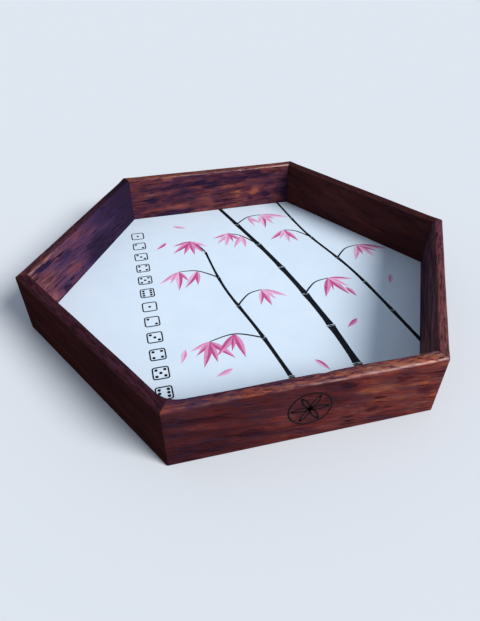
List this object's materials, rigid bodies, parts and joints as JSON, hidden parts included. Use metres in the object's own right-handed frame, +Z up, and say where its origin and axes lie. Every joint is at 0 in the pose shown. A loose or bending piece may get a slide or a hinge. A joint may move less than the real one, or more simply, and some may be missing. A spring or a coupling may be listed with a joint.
{
  "type": "dice tray",
  "caption": "Shallow hexagonal wooden tray with mitred walls, a rounded rim and a flat printed floor, for rolling and keeping dice.",
  "frame": {"origin": "under the centre of the tray, at the level of the table", "axes": "+Z up, +X towards the right corner, -Y out of the front wall"},
  "size_m": [0.2596, 0.2252, 0.0365],
  "materials": {
    "wall_wood": "dark red-brown streaked hardwood, satin lacquer",
    "spline_wood": "bare hardwood",
    "base_plywood": "bare sanded plywood",
    "liner_print": "white printed vinyl, satin"
  },
  "bodies": {
    "root": {"front_wall": "wall_wood", "front_right_wall": "wall_wood", "back_right_wall": "wall_wood", "back_wall": "wall_wood", "back_left_wall": "wall_wood", "front_left_wall": "wall_wood", "front_right_spline": "spline_wood", "right_spline": "spline_wood", "back_right_spline": "spline_wood", "back_left_spline": "spline_wood", "left_spline": "spline_wood", "front_left_spline": "spline_wood", "base_panel": "base_plywood", "printed_liner": "liner_print"}
  },
  "joints": []
}
